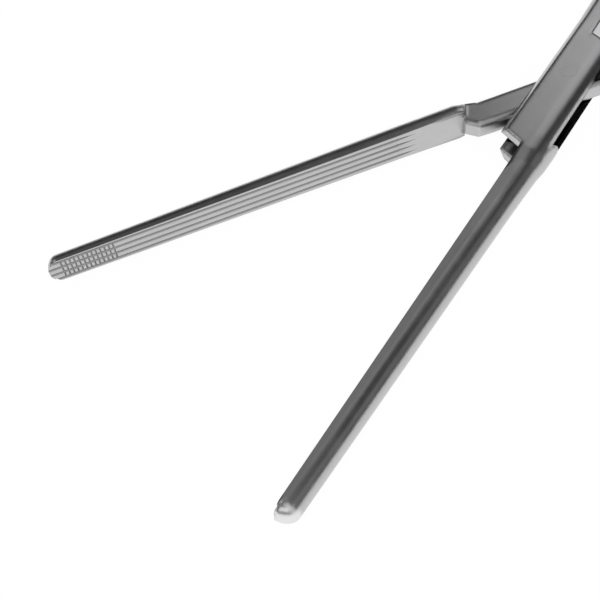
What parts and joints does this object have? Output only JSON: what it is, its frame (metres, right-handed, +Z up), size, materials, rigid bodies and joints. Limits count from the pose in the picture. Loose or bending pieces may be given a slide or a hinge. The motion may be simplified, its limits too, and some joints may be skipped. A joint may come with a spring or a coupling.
{
  "type": "carmalt forceps",
  "caption": "Long straight box-lock forceps with lengthwise grooved jaws, finger rings and a ratchet, lying open.",
  "frame": {"origin": "on the pivot axis, at the underside of the box lock, which is the face the forceps lies on", "axes": "+Z up along the pivot, +X along the middle line from the pivot towards the finger rings, so the jaws point to -X"},
  "size_m": [0.1872, 0.1344, 0.0058],
  "materials": {
    "female_half": "satin",
    "male_half": "satin",
    "pivot_pin": "satin"
  },
  "bodies": {
    "female_half": {"female_half": "female_half", "pivot_pin": "pivot_pin"},
    "male_half": {"male_half": "male_half"}
  },
  "joints": [
    {"name": "box_lock", "type": "hinge", "parent": "female_half", "child": "male_half", "pos_m": [0, 0, 0], "axis": [0, 0, 1], "range_deg": [-26, 36]}
  ]
}
